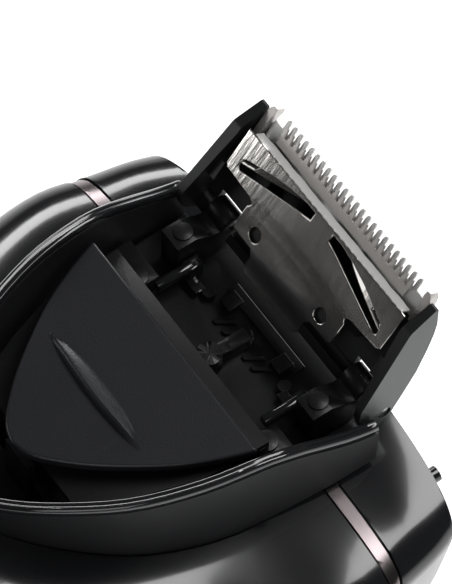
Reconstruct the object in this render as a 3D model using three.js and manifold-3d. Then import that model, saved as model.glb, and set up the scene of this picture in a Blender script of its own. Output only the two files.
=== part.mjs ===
// Rotary electric shaver lying on its front, pop-up trimmer swung open. Millimetres, +Z out of the back,
// +Y towards the shaving head, +X to the right.
import * as THREE from "three";
import { mergeVertices } from "three/addons/utils/BufferGeometryUtils.js";
import Module from "manifold-3d";

// ---- driving dimensions ----
const BODY_LENGTH = 134; // from the panel datum down to the foot of the handle
const HEAD_LENGTH = 37.5; // the part of that length that stays the same on a longer handle
const HEAD_HALF_WIDTH = 36.2; // widest half width, at the neck ring
const WALL = 1.8; // shell wall
const GAP = 0.3; // joint between two fixed pieces
const RUN = 0.5; // clearance round a moving piece
const SPLIT_Z = -25; // parting height of the two handle shells
const SPINE_HALF = 21.9; // half width of the raised back spine at its head end
const SPINE_END = 6.8; // how far the spine reaches towards the head
const SPINE_FOOT = -13.5; // underside of the spine over the shaving unit
const SPINE_WALL = 1.6;
const RIM_R = 0.75; // glossy bead on the spine's edge
const BAY_FLOOR = -12.9; // floor of the trimmer bay
const LEDGE_Z = -3; // top of the ledge that the release slide runs on
const LEDGE_END = -6.3; // head end of that ledge
const PANEL_TOP = -9; // head edge of the release slide
const PANEL_HALF = 18; // its half width there
const PANEL_LENGTH = 24.3;
const PANEL_THICK = 1.5;
const HINGE = { y: 9.1, z: -6.8 }; // trimmer pivot
const OPEN = 54.2; // angle of the open trimmer from the long axis, degrees
const PIN_R = 0.9;
const PIN_CLEAR = 0.06;
const BOX_HALF = 20; // trimmer frame half width at the pivot
const BOX_TIP_HALF = BOX_HALF - 1.6; // and at the teeth
const BOX_WALL = 1.2;
const BOX_NEAR = 5.3; // height of the frame's near edge over the pivot
const PLATE = { top: 4.8, thick: 0.4, wing: BOX_HALF - 3.5, wingFoot: 8.4, body: 10.6, foot: 3, tab: 5.7,
  fold: 14.6 };
const PITCH = 1.2; // of the trimmer's teeth
const COUNT = 1 + Math.round((2 * BOX_TIP_HALF - 9.2) / PITCH);
const TEETH = { count: COUNT, tip: 18.25, root: 16.1, width: 0.5, top: 2.0, thick: 0.45 };
const CUTTER = { foot: 14.75, root: 15.95, tip: 17.5, thick: 0.4, gap: 0.12 };
// Shaving face: its back edge, its tilt from the long axis, and how far its middle lies down it.
const FACE = { y: 13.6, z: -13, tilt: 25, middle: 25.7 };
const CAP_R = 12.2;
const MODULE = 0.62; // gear train between motor and cutters
const SUN_TEETH = 35;
const GEAR_TEETH = 16;
const MOTOR_Y = 2.7; // motor axis above the middle of the shaving face
const ROUND = 18; // facets on a round piece

// ---- solids ----
const wasm = await Module();
wasm.setup();

function solid(geometry) {
  const g = (geometry.index ? geometry : geometry.clone()).clone();
  g.deleteAttribute("normal");
  g.deleteAttribute("uv");
  const m = mergeVertices(g, 1e-4);
  return new wasm.Manifold(new wasm.Mesh({
    numProp: 3,
    vertProperties: new Float32Array(m.attributes.position.array),
    triVerts: new Uint32Array(m.index.array),
  }));
}
function geometryOf(s) {
  const m = s.getMesh();
  const n = m.numProp;
  const v = new Float32Array(m.numVert * 3);
  for (let i = 0; i < m.numVert; i++) v.set(m.vertProperties.subarray(i * n, i * n + 3), i * 3);
  return new THREE.BufferGeometry()
    .setAttribute("position", new THREE.BufferAttribute(v, 3))
    .setIndex(new THREE.BufferAttribute(new Uint32Array(m.triVerts), 1));
}
const box = (x0, x1, y0, y1, z0, z1) =>
  solid(new THREE.BoxGeometry(x1 - x0, y1 - y0, z1 - z0)
    .translate((x0 + x1) / 2, (y0 + y1) / 2, (z0 + z1) / 2));

// A round bar from z0 to z1 about (x, y).
const post = (x, y, z0, z1, r, r2 = r, n = ROUND) =>
  solid(new THREE.CylinderGeometry(r2, r, z1 - z0, n).rotateX(Math.PI / 2).translate(x, y, (z0 + z1) / 2));
// A round bar along X about (y, z).
const axle = (x0, x1, y, z, r, n = ROUND) =>
  solid(new THREE.CylinderGeometry(r, r, x1 - x0, n)
    .rotateZ(-Math.PI / 2).translate((x0 + x1) / 2, y, z));
// A round bar along Y about (x, z).
const axleY = (y0, y1, x, z, r, n = ROUND) =>
  solid(new THREE.CylinderGeometry(r, r, y1 - y0, n).translate(x, (y0 + y1) / 2, z));

const flat = (points) => points.map(([a, b]) => new THREE.Vector2(a, b));
const raised = (points, depth) =>
  new THREE.ExtrudeGeometry(new THREE.Shape(flat(points)), { depth, bevelEnabled: false, steps: 1 });
// An outline in X, Y raised from z0 to z1.
const plan = (points, z0, z1) => solid(raised(points, z1 - z0).translate(0, 0, z0));
// An outline in Y, Z carried from x0 to x1.
const AXES = [[0, 1, 0], [0, 0, 1], [1, 0, 0]].map((v) => new THREE.Vector3(...v));
const alongX = new THREE.Matrix4().makeBasis(...AXES);
const side = (points, x0, x1) =>
  solid(raised(points, x1 - x0).applyMatrix4(alongX).translate(x0, 0, 0));
// An outline in radius, height turned about Z.
const turned = (points) =>
  solid(new THREE.LatheGeometry(flat(points), ROUND).rotateX(Math.PI / 2));
// A round wire of radius r bent along a path.
function wire(extrudePath, r, steps, curveSegments) {
  const ring = new THREE.Shape();
  ring.absarc(0, 0, r, 0, 2 * Math.PI, false);
  const settings = { steps, extrudePath, bevelEnabled: false, curveSegments };
  return solid(new THREE.ExtrudeGeometry(ring, settings));
}
const join = (...s) => s.reduce((a, b) => a.add(b));
const mirrored = (points) => points.concat(points.slice().reverse().map(([x, y]) => [-x, y]));

// Rings of points, each a closed loop, joined in order and capped at both ends.
function skin(rings) {
  const n = rings[0].length;
  const v = rings.flat(2);
  const t = [];
  rings.slice(1).forEach((_, r) => {
    for (let i = 0; i < n; i++) {
      const a = r * n + i;
      const b = r * n + ((i + 1) % n);
      t.push(a, b, a + n, b, b + n, a + n);
    }
  });
  const cap = (r, flip) => {
    const c = v.length / 3;
    v.push(...[0, 1, 2].map((k) => rings[r].reduce((s, p) => s + p[k], 0) / n));
    for (let i = 0; i < n; i++) {
      const a = r * n + i;
      const b = r * n + ((i + 1) % n);
      t.push(...(flip ? [b, a, c] : [a, b, c]));
    }
  };
  cap(0, true);
  cap(rings.length - 1, false);
  const position = new THREE.BufferAttribute(new Float32Array(v), 3);
  return solid(new THREE.BufferGeometry().setAttribute("position", position).setIndex(t));
}

// ---- the outer form: station, half width as a share of the head's, then the heights of the underside,
// of the widest line and of the top; stations run over the head from 0 to -1 and the handle to -2 ----
const FORM = [
  [-2, 0.4, -29, -20, -12], [-1.979, 0.5, -33, -20, -8], [-1.931, 0.6, -37.5, -20, -4.6],
  [-1.806, 0.7, -40.5, -20.5, -2.6], [-1.583, 0.74, -42, -21, -2], [-1.333, 0.76, -43, -21, -2],
  [-1.139, 0.8, -45, -21, -3.6], [-1, 0.87, -48, -21, -7.4], [-0.679, 0.94, -52.5, -21, -10.6],
  [-0.393, 1.02, -56.5, -21, -12.6], [-0.143, 1.045, -58.8, -21, -13.6], [0.054, 1, -59.5, -21, -14],
  [0.214, 0.965, -59.5, -21, -14.1], [0.339, 0.915, -59.5, -21, -14.3],
  [0.447, 0.85, -59.5, -21, -14.8], [0.536, 0.76, -59.5, -21, -15.6],
];
const stationY = (s) =>
  s > -1 ? s * HEAD_LENGTH : (s + 1) * (BODY_LENGTH - HEAD_LENGTH) - HEAD_LENGTH;
const FORM_POINTS = 28;
const SQUARENESS = 2.7; // exponent of the rounded section
function form(inset, from = 0) {
  return skin(FORM.slice(from).map(([f, w, low, middle, high], i, all) => {
    const end = from === 0 && i === 0 ? inset : i === all.length - 1 ? -inset : 0;
    const y = stationY(f) + end;
    const half = w * HEAD_HALF_WIDTH - inset;
    return Array.from({ length: FORM_POINTS }, (_, k) => {
      const t = (-2 * Math.PI * k) / FORM_POINTS;
      const bow = (v) => Math.sign(v) * Math.abs(v) ** (2 / SQUARENESS);
      const rise = (Math.sin(t) > 0 ? high - middle : middle - low) - inset;
      return [bow(Math.cos(t)) * half, y, middle + bow(Math.sin(t)) * rise];
    });
  }));
}
// The neck joint as seen from the side: y of the joint at a height z.
const NECK = [[0, -4.3], [-8, -2], [-14, -0.2], [-18, 0], [-22, -2], [-27, -4.6], [-35, -8.3],
  [-44, -12.5], [-52, -16.2], [-60, -20]];
const RING = { from: -0.6, to: 1.1, proud: 0.25 }; // the bright ring let into the joint
const FAR = 60; // beyond every face, for the solids that only cut
const BEFORE = -1.5 * BODY_LENGTH;
const neckLine = (shift) => NECK.map(([z, y]) => [y + shift, z]);
const beyondNeck = (shift) =>
  side(neckLine(shift).concat([[FAR, -FAR], [FAR, 0]]).reverse(), -FAR, FAR);
const beforeNeck = (shift) => side(neckLine(shift).concat([[BEFORE, -FAR], [BEFORE, 0]]), -FAR, FAR);
// Everything on the body's side of a line drawn `drop` below the shaving face.
const tilt = THREE.MathUtils.degToRad(FACE.tilt);
function behindFace(drop) {
  const y = FACE.y - drop / Math.cos(tilt);
  const reach = (h) => [y + h * Math.tan(tilt), FACE.z + h];
  return side([[BEFORE, FACE.z + 30], [BEFORE, FACE.z - FAR], reach(-FAR), reach(30)], -FAR, FAR);
}

// ---- the spine's outline in plan, and its top edge seen from the side ----
const SPINE_EDGE = [[0, SPINE_END], [0.1, 0], [0.8, -9], [2.2, -18], [5.4, -27], [10.8, -35],
  [16.4, -40.4], [20.4, -42.6]].map(([narrower, y]) => [SPINE_HALF - narrower, y]);
const TOP_EDGE = [[SPINE_END, -5.6], [3.5, -4.4], [0, -2.6], [-4.5, -0.2], [-9, 1.4], [-15, 2],
  [-24, 2], [-33, 1.4], [-43, -0.4]];
const TAIL = 4; // points up to this one lie on the sides, the rest round the tail
function spinePlan(inset, z0, z1, reach = 0) {
  const edge = SPINE_EDGE.map(([x, y], i) => {
    const round = i > TAIL;
    const half = Math.max(0.4, x - inset * (round ? 1.35 : 1));
    return [half, y + (i === 0 ? reach : 0) + (round ? inset * 0.8 : 0)];
  });
  return plan(mirrored(edge.reverse()), z0, z1);
}
function underTop(drop) {
  const edge = TOP_EDGE.map(([y, z]) => [y, z - drop]);
  const reach = SPINE_END + 9;
  return side(edge.concat([[-43.6, -FAR], [reach, -FAR], [reach, TOP_EDGE[0][1] - drop]]), -FAR, FAR);
}

// ---- materials ----
const material = (color, roughness, metalness) =>
  new THREE.MeshStandardMaterial({ color, roughness, metalness });
const gloss = material(0x0b0c0e, 0.12, 0);
const satin = material(0x2b2d2f, 0.45, 0);
const matte = material(0x17181a, 0.65, 0);
const steel = material(0xc9c6c2, 0.28, 1);
const chrome = material(0xd8d8da, 0.08, 1);
const rubber = material(0x1d1e20, 0.85, 0);
const white = material(0xe6e5e0, 0.5, 0);
const amber = material(0x4fd08a, 0.2, 0);
const green = material(0x1c5a35, 0.5, 0);
const sleeve = material(0x2f5f9a, 0.4, 0);
const brass = material(0xb08d4a, 0.3, 1);

const shaver = new THREE.Group();
const trimmer = new THREE.Group();
const head = new THREE.Group();
function add(group, name, body, mat) {
  const m = new THREE.Mesh(geometryOf(body), mat);
  m.name = name;
  group.add(m);
}

// ---- handle ----
// Charging inlet in the foot of the handle.
const SOCKET = { z: -22, half: 4.6, height: 3.5, depth: 9.4, length: 10.6, wall: 0.95, sunk: 0.4 };
const foot = -BODY_LENGTH;
const socketBox = (grow, y0, y1) => box(-SOCKET.half - grow, SOCKET.half + grow, foot + y0, foot + y1,
  SOCKET.z - SOCKET.height - grow, SOCKET.z + SOCKET.height + grow);
const socketRoom = () => socketBox(GAP, -5, SOCKET.sunk + SOCKET.length + 1);
const socket = () => socketBox(0, SOCKET.sunk, SOCKET.sunk + SOCKET.length)
  .subtract(socketBox(-SOCKET.wall, -1, SOCKET.depth));
const socketPin = (s) =>
  axleY(foot + 5.2, foot + SOCKET.depth - GAP / 2, s * 1.9, SOCKET.z, 0.55, 12);

const hull = form(0).subtract(form(WALL)).intersect(beforeNeck(RING.from - GAP)).subtract(socketRoom());
const spineRoom = spinePlan(-GAP, SPINE_FOOT - GAP, 20, 12);
function backShell() {
  const holes = join(...SCREWS.map(([x, y]) => post(x, y, -30, 20, 2.3)));
  const half = hull.intersect(box(-FAR, FAR, BEFORE, FAR, SPLIT_Z + GAP / 2, 20));
  return half.subtract(spineRoom).subtract(holes).subtract(lensRoom());
}
function frontShell() {
  const half = hull.intersect(box(-FAR, FAR, BEFORE, FAR, -80, SPLIT_Z - GAP / 2));
  const buttonHole = post(0, BUTTON_Y, -60, -30, BUTTON_R + RUN);
  return half.subtract(buttonHole).subtract(gripRoom(1)).subtract(gripRoom(-1));
}
const SCREWS = [[0, -100], [0, -56]];
const SCREW_TOP = -2.6;
const screw = ([x, y]) => {
  const top = SCREW_TOP;
  return join(post(x, y, top - 1.4, top, 2), post(x, y, top - 9, top - 1.2, 1.1, 1.1, 16))
    .subtract(box(x - 1.4, x + 1.4, y - 0.3, y + 0.3, top - 0.7, top + 1))
    .subtract(box(x - 0.3, x + 0.3, y - 1.4, y + 1.4, top - 0.7, top + 1));
};
const LENS = { y: -76, half: 1.6, length: 9 };
const lensBox = (grow, low) =>
  box(-LENS.half - grow, LENS.half + grow, LENS.y - LENS.length - grow, LENS.y + grow, low, 5);
const lensRoom = () => lensBox(GAP, -20);
const lens = () => form(0.1).intersect(lensBox(0, -4.6));
// Rubber side grips, let into the front shell.
const GRIP = { from: -112, to: -40, low: -39, high: -27, proud: 0.5, sunk: 0.9, pitch: 12, groove: 1.2 };
const gripRoom = (s) => gripBlock(s, GAP).subtract(form(GRIP.sunk + GAP));
const gripBlock = (s, grow) => {
  const x0 = s > 0 ? 12 : -FAR;
  const x1 = s > 0 ? FAR : -12;
  return box(x0, x1, GRIP.from - grow, GRIP.to + grow, GRIP.low - grow, GRIP.high + grow);
};
const grip = (s) => {
  let g = form(-GRIP.proud).subtract(form(GRIP.sunk)).intersect(gripBlock(s, 0));
  for (let y = GRIP.from + 10; y < GRIP.to - 5; y += GRIP.pitch) {
    const band = box(-FAR, FAR, y, y + GRIP.groove, -FAR, 0);
    g = g.subtract(band.intersect(gripBlock(s, 1)).subtract(form(0)));
  }
  return g;
};
// Power button on the front, over its switch.
const BUTTON_Y = -64;
const BUTTON_R = 8;
const button = () => turned([[0, -45.6], [3, -45.8], [BUTTON_R - 0.8, -45.2], [BUTTON_R, -44.4],
  [BUTTON_R, -40.6], [BUTTON_R + 1.1, -40.6], [BUTTON_R + 1.1, -39.8], [0, -39.8]])
  .translate([0, BUTTON_Y, 0]);
const board = () => box(-9, 9, -100, -46, -34.4, -33);
const switchBlock = () => join(box(-3, 3, BUTTON_Y - 3, BUTTON_Y + 3, -37.6, -34.4 - GAP),
  post(0, BUTTON_Y, -38.6, -37.5, 1.4, 1.4, 16));
const battery = () => join(axleY(-118, -60, 0, -21.8, 8), axleY(-60.1, -58.8, 0, -21.8, 3, 16));

// ---- spine: walls and floor round the trimmer bay and the release slide ----
function spine() {
  const outer = spinePlan(0, SPINE_FOOT, 3);
  const inner = spinePlan(SPINE_WALL, BAY_FLOOR, 20, 4);
  const shaved = outer.intersect(underTop(RIM_R + GAP));
  const seat = SPRING.from - SPRING.wire - GAP;
  const stop = box(-2.4, 2.4, seat - 1, seat, SPINE_FOOT, SPRING.z + SPRING.r);
  const opening = box(-12, 12, SPRING.from, -10, SPINE_FOOT - 1, BAY_FLOOR + 1);
  return shaved.subtract(inner).subtract(opening).add(stop);
}
function rim() {
  const tail = SPINE_EDGE[SPINE_EDGE.length - 1][1];
  const half = (s) => SPINE_EDGE.map(([x, y]) =>
    new THREE.Vector3(s * (x - SPINE_WALL / 2), Math.max(y, tail + 0.6), topAt(y)));
  const points = [...half(1), new THREE.Vector3(0, tail, topAt(tail)), ...half(-1).reverse()];
  return wire(new THREE.CatmullRomCurve3(points, false, "centripetal"), RIM_R, 40, 4);
}
function topAt(y) {
  const i = TOP_EDGE.findIndex(([ty]) => ty <= y);
  if (i <= 0) return TOP_EDGE[i < 0 ? TOP_EDGE.length - 1 : 0][1];
  const [y1, z1] = TOP_EDGE[i - 1];
  const [y0, z0] = TOP_EDGE[i];
  return z0 + ((z1 - z0) * (y - y0)) / (y1 - y0);
}

// ---- trimmer bay: chassis with ledge, hinge arms, steps and stops ----
const ARM = { in: BOX_HALF - 7.1, out: BOX_HALF - 3.4, r: 1.9 };
const ARM_MID = (ARM.in + ARM.out) / 2;
function bay() {
  const floorTop = BAY_FLOOR + 1.5;
  const floor = spinePlan(SPINE_WALL + GAP, BAY_FLOOR + GAP, floorTop, 0)
    .intersect(box(-30, 30, LEDGE_END - 2, 30, -20, 5))
    .add(box(-15, 15, SPINE_END - 1, HINGE.y + 3.2, BAY_FLOOR + GAP, floorTop));
  const ledgeEdge = [[ARM.out, LEDGE_END], [16.2, -16], [13.6, -24], [10.5, -31]];
  const ledge = plan(mirrored(ledgeEdge), LEDGE_Z - 1.4, LEDGE_Z);
  const wall = box(-ARM.out, ARM.out, LEDGE_END - 1.4, LEDGE_END, BAY_FLOOR + 1, LEDGE_Z - 1);
  const low = BAY_FLOOR + 1;
  const step = (s) => box(s > 0 ? ARM.in : -19.4, s > 0 ? 19.4 : -ARM.in, LEDGE_END - 0.4, -2.4, low, -8.5);
  const armSide = [[0.5, low], [HINGE.y - 1, low], [HINGE.y, HINGE.z], [6, -6.3], [3.4, -4.8], [0.5, -4.8]];
  const arm = (s) => {
    const x0 = s > 0 ? ARM.in : -ARM.out;
    const x1 = s > 0 ? ARM.out : -ARM.in;
    return side(armSide, x0, x1)
      .add(axle(x0, x1, HINGE.y, HINGE.z, ARM.r))
      .add(post(s * ARM_MID, 2.6, -5, -4.5, 1.3, 1.3, 20))
      .subtract(axle(x0 - 1, x1 + 1, HINGE.y, HINGE.z, PIN_R + PIN_CLEAR));
  };
  const bosses = join(...[-1, 1].map((s) => post(s * (ARM.in + 1.4), -4.9, -9, -7.9, 1.5, 1.5, 20)));
  return join(floor, ledge, wall, step(1), step(-1), arm(1), arm(-1), bosses)
    .subtract(box(-2.2, 2.2, -40, LEDGE_END - 6, -10, 0));
}
function latch(s) {
  const at = s * (ARM.in - 1.1);
  const toe = s * (ARM.in - 2.7);
  const bar = axleY(-3.6, 1.8, at, -8.4, 0.8, 14);
  const bracket = box(at - 0.8, at + 0.8, 1, 3.2, BAY_FLOOR + 1.8, -7.8);
  return join(bar, bracket, box(toe - 1.3, toe + 1.3, 0.6, 2, BAY_FLOOR + 1.8, -10.2));
}
function crossbar() { // bridge in front of the drive lever, with a boss at each end
  const low = BAY_FLOOR + 1.8;
  const bosses = [-5.5, 5.5].map((x) => box(x - 1.1, x + 1.1, 2.6, 5, low, -10.2));
  return join(box(-7.4, 7.4, 4.4, 6.2, low, -10.8), ...bosses);
}
const LEVER = { x: 0, y: -3.6 };
function lever() {
  return join(post(LEVER.x, LEVER.y, BAY_FLOOR + 1.8, -8.2, 1.7, 1.7, 20),
    box(-1, 1, LEVER.y, 2.4, -10.6, -9), post(0, 2, -10.6, -9.4, 1.1, 1.1, 16));
}

// ---- release slide and its spring ----
const PANEL_EDGE = [[1, 0], [0.9, -0.2], [0.76, -0.415], [0.5, -0.7], [0.29, -0.877], [0.14, -0.967]];
const RIDGE = [[-9.9, -21.5], [-8.2, -22.2], [0, -22.7], [8.2, -22], [9.8, -21.1], [7, -19.7],
  [3.6, -19.3], [-3, -19.2], [-7, -19.4]]; // thumb ridge across the slide
const SPRING = { turns: 5, r: 1.1, wire: 0.2, z: -4.9, from: -31.2, to: -27.4 };
const GUIDE_FOOT = -24;
const PUSH = 3; // travel of the slide towards the foot
function panel() {
  const edge = PANEL_EDGE.map(([w, f]) => [w * PANEL_HALF, PANEL_TOP + f * PANEL_LENGTH]);
  const plate = plan(mirrored(edge.reverse()), -PANEL_THICK, 0);
  const ridge = plan(RIDGE, -0.2, 0.9);
  const guide = box(-1.7, 1.7, GUIDE_FOOT, -14, -6.4, -PANEL_THICK + 0.1);
  const runner = box(-2.6, 2.6, GUIDE_FOOT, -14, -6.4, -5);
  const pin = axleY(SPRING.from + PUSH, GUIDE_FOOT + 0.1, 0, SPRING.z, 0.55, 12);
  return join(plate, ridge, guide, runner, pin);
}
class Coil extends THREE.Curve {
  getPoint(t, p = new THREE.Vector3()) {
    const a = 2 * Math.PI * SPRING.turns * t;
    return p.set(SPRING.r * Math.cos(a), SPRING.from + (SPRING.to - SPRING.from) * t,
      SPRING.z + SPRING.r * Math.sin(a));
  }
}
const slideSpring = () => wire(new Coil(), SPRING.wire, 50, 2);

// ---- trimmer, in its own frame: pivot at the origin, +Y to the teeth, +Z towards the inner side ----
const RIB = BOX_HALF - 2.6; // the plate rests on a rib at each side
function frameBox() {
  const profile = [[-2.3, 0.6], [-1.6, -1.2], [0.9, -1.2], [6.8, -1.3], [10.5, -0.6], [13.2, 0.1],
    [15, 0.8], [17.6, 2.5], [17.2, 3.2], [13.9, BOX_NEAR], [1, BOX_NEAR], [-2, 3.2]];
  const outline = [[BOX_TIP_HALF, TEETH.root + 2], [BOX_HALF, 0], [BOX_HALF, -4]];
  const inside = [[BOX_TIP_HALF, 22], [BOX_TIP_HALF, 13], [BOX_HALF, 0], [BOX_HALF, -6]]
    .map(([x, t]) => [x - BOX_WALL, t]);
  const shell = side(profile, -30, 30).intersect(plan(mirrored(outline).reverse(), -6, 12));
  const room = plan(mirrored(inside).reverse(), -6, 12);
  const cover = side([[-1.6, 0.2], [3, 0], [6.8, -0.2], [10.5, 0.4], [13.2, 1.2], [15.7, 1.2],
    [15.7, -9], [22, -9], [22, 20], [-9, 20], [-9, 0.6]], -30, 30);
  const armRoom = join(...[-1, 1].map((s) => {
    const x0 = s > 0 ? ARM.in - RUN : -ARM.out - RUN;
    const x1 = s > 0 ? ARM.out + RUN : -ARM.in + RUN;
    return axle(x0, x1, 0, 0, ARM.r + RUN).add(box(x0, x1, -9, 2, -9, 0));
  }));
  const ribs = join(...[-1, 1].map((s) => box(s * RIB - 0.6, s * RIB + 0.6, 5, 8, 0, 4.2)));
  const posts = join(...[-1, 1].map((s) => post(s * 7, 4.8, -0.4, 4.2, 1.9, 1.9, 18)));
  const bore = axle(-30, 30, 0, 0, PIN_R + PIN_CLEAR);
  const tray = shell.subtract(room.intersect(cover)).add(ribs.intersect(shell)).add(posts);
  return tray.subtract(armRoom).subtract(bore);
}
function hingePin(s) {
  const near = ARM.in + 0.2;
  const far = BOX_HALF - 0.3;
  return axle(s > 0 ? near : -far, s > 0 ? far : -near, 0, 0, PIN_R);
}
function springPlate() {
  const { top, thick, wing, wingFoot, body, foot: low, tab, fold } = PLATE;
  const outline = mirrored([[tab, 0], [tab, low], [body, low], [body, wingFoot - 0.3], [wing, wingFoot],
    [wing + 0.1, fold]]);
  const handed = (s, points) => points.map(([x, t]) => [s * x, t]);
  const slotEdge = [[1.9, 12.9], [wing - 1.9, 9.4], [wing - 1.9, 10.95], [4.2, 14], [1.9, 14]];
  const slot = (s) => plan(handed(s, slotEdge), top - 2, top + 2);
  const fingerEdge = [[9, 11.7], [wing - 2.9, 10.4], [wing - 1.6, 10.6], [wing - 1.6, 11.3], [5, 13.9],
    [4.2, 13.6]];
  const finger = (s) => plan(handed(s, fingerEdge), top - thick - 0.3, top - thick + 0.05);
  const sheet = plan(outline, top - thick, top);
  const flange = box(-wing + 1.2, wing - 1.2, fold - thick, fold, TEETH.top + 0.75, top - thick / 2);
  const holes = join(...[-1, 1].map((s) => post(s * 7, 4.8, 0, 9, 1.05, 1.05, 20)));
  return join(sheet.subtract(slot(1)).subtract(slot(-1)), finger(1), finger(-1), flange).subtract(holes);
}
const span = ((TEETH.count - 1) * PITCH) / 2;
function comb() {
  const { tip, root, width, top, thick } = TEETH;
  const blade = box(-span - 1.9, span + 1.9, 13.4, root + 0.5, top - thick, top);
  const teeth = Array.from({ length: TEETH.count }, (_, i) => {
    const x = -span + i * PITCH;
    const h = width / 2;
    const low = tip - 0.3;
    const edge = [[x - h, root], [x + h, root], [x + h * 0.8, low], [x, tip], [x - h * 0.8, low]];
    return plan(edge, top - thick, top);
  });
  return join(blade, ...teeth);
}
function cutter() {
  const { foot: low, root, tip, thick, gap } = CUTTER;
  const z = TEETH.top + gap;
  const blade = box(-span + 0.4, span - 0.4, low, root + 0.3, z, z + thick);
  const teeth = Array.from({ length: TEETH.count - 1 }, (_, i) => {
    const x = -span + (i + 0.5) * PITCH;
    return plan([[x - 0.4, root], [x + 0.4, root], [x + 0.14, tip], [x - 0.14, tip]], z, z + thick);
  });
  return join(blade, ...teeth);
}
const GUARD = { in: BOX_TIP_HALF - 2.5, out: BOX_TIP_HALF - 1.4 };
function guard(s) { // rounded runner at the end of the teeth, on its upright
  const { in: near, out: far } = GUARD;
  const edge = [[near, 13.6], [far, 13.6], [far, 17.4], [far - 0.6, 18.3], [near - 0.2, 18.3],
    [near, 16.6]];
  const upright = box(s > 0 ? near : -far, s > 0 ? far : -near, 13.4, 16.4, 2.1, 2.8);
  return plan(edge.map(([x, t]) => [s * x, t]), 1.2, 2.8).add(upright);
}

// ---- shaving unit: base, frame, three caps over three cutters; own frame, +Z out of the shaving face ----
const tc = Math.cos(tilt);
const ts = Math.sin(tilt);
const headAxes = [[-1, 0, 0], [0, ts, tc], [0, tc, -ts]].map((v) => new THREE.Vector3(...v));
const toHead = new THREE.Matrix4().makeBasis(...headAxes)
  .setPosition(0, FACE.y - FACE.middle * ts, FACE.z - FACE.middle * tc);
const inHead = (s) => solid(geometryOf(s).applyMatrix4(toHead));
const SPREAD = (MODULE * (GEAR_TEETH + SUN_TEETH)) / 2;
const CAP_TURN = [156, 24, -90].map((a) => THREE.MathUtils.degToRad(a));
const CAPS = CAP_TURN.map((a) => [SPREAD * Math.cos(a), MOTOR_Y + SPREAD * Math.sin(a)]);
const capsAt = (make) => join(...CAPS.map(([x, y]) => make(x, y)));
function unitBase() {
  const skinPart = form(0, 7).intersect(beyondNeck(RING.to + GAP)).intersect(behindFace(2.4 + GAP));
  const wells = inHead(capsAt((x, y) => post(x, y, -7.6, 9, CAP_R + 0.6)));
  const bores = inHead(capsAt((x, y) => post(x, y, -40, 9, 4.4)));
  return skinPart.subtract(wells).subtract(bores);
}
function unitFrame() {
  const slab = form(0, 7).intersect(beyondNeck(RING.to + GAP)).intersect(behindFace(0));
  return slab.subtract(behindFace(2.4)).subtract(inHead(capsAt((x, y) => post(x, y, -9, 9, CAP_R + 0.4))));
}
const capRing = ([x, y]) => turned([[CAP_R - 1.6, -5.6], [CAP_R, -5.6], [CAP_R, 0.8], [CAP_R - 0.8, 1.9],
  [CAP_R - 2.3, 1.9], [CAP_R - 2.3, -1], [CAP_R - 1.6, -1.4], [CAP_R - 1.6, -5.6]]).translate([x, y, 0]);
function guardCap([x, y]) { // slotted steel cap
  const r = CAP_R - 2.6;
  const dish = turned([[0, 0.5], [2.9, 0.5], [3.5, 1.9], [r - 1, 1.9], [r - 0.4, 1.5], [r - 0.4, -1],
    [r, -1],
    [r, 1.6], [r - 0.8, 2.3], [3.2, 2.3], [2.6, 0.9], [0, 0.9]]);
  const bar = () => new THREE.BoxGeometry(r - 4.6, 0.5, 4).translate((r + 2.6) / 2, 0, 2);
  const slots = Array.from({ length: 8 }, (_, k) => solid(bar().rotateZ((k * Math.PI) / 4)));
  return dish.subtract(join(...slots)).translate([x, y, 0]);
}
function bladeRing([x, y]) { // rotating cutter: hub, disc and lifted blades
  const r = CAP_R - 4.2;
  const disc = turned([[0, -3.4], [1.8, -3.4], [1.8, -7], [2.8, -7], [2.8, -3.2], [r, -3.2], [r, -2.6],
    [1.8, -2.6], [1.8, -1.4], [0, -1.4]]);
  const blade = () => new THREE.BoxGeometry(1.6, 0.6, 4).translate(r - 0.9, 0, -0.8);
  const blades = Array.from({ length: 6 }, (_, k) => solid(blade().rotateZ((k * Math.PI) / 3)));
  return join(disc, ...blades).translate([x, y, 0]);
}
function wheel(teeth, z0, z1, x, y, phase) { // spur gear
  const r = (MODULE * teeth) / 2;
  const root = r - 1.2 * MODULE;
  const out = r + 0.85 * MODULE;
  const points = [];
  for (let k = 0; k < teeth; k++)
    for (const [f, q] of [[-0.27, root], [-0.11, out], [0.11, out], [0.27, root]]) {
      const a = (2 * Math.PI * (k + f + phase)) / teeth;
      points.push([x + q * Math.cos(a), y + q * Math.sin(a)]);
    }
  return plan(points, z0, z1);
}
const GEAR_Z = -16.5;
const GEAR_THICK = 1.8;
function drive([x, y], i) { // gear with its spindle, a gap facing a tooth of the middle gear
  const a = CAP_TURN[i] / (2 * Math.PI);
  const phase = (a + 0.5) * GEAR_TEETH + a * SUN_TEETH + 0.5;
  const gear = wheel(GEAR_TEETH, GEAR_Z, GEAR_Z + GEAR_THICK, x, y, phase);
  return gear.add(post(x, y, GEAR_Z - 1, -5, 1, 1, 14));
}
const sun = () => join(wheel(SUN_TEETH, GEAR_Z, GEAR_Z + GEAR_THICK, 0, MOTOR_Y, 0),
  post(0, MOTOR_Y, GEAR_Z - 5, GEAR_Z + 0.1, 1, 1, 14));
const motor = () => post(0, MOTOR_Y, GEAR_Z - 23, GEAR_Z - 3, 8.8)
  .add(post(0, MOTOR_Y, GEAR_Z - 3.1, GEAR_Z - 1, 2.6))
  .subtract(post(0, MOTOR_Y, GEAR_Z - 6, GEAR_Z, 1 + PIN_CLEAR, 1 + PIN_CLEAR, 14));
function drivePlate() {
  const slab = form(WALL + GAP).intersect(beforeNeck(RING.from - GAP)).intersect(beyondNeck(-2.6));
  return slab.subtract(spineRoom).subtract(inHead(capsAt((x, y) => post(x, y, -40, 9, 1 + RUN))));
}
const neckRing = () => form(-RING.proud).subtract(form(WALL))
  .intersect(beyondNeck(RING.from)).intersect(beforeNeck(RING.to)).subtract(spineRoom);

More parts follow.
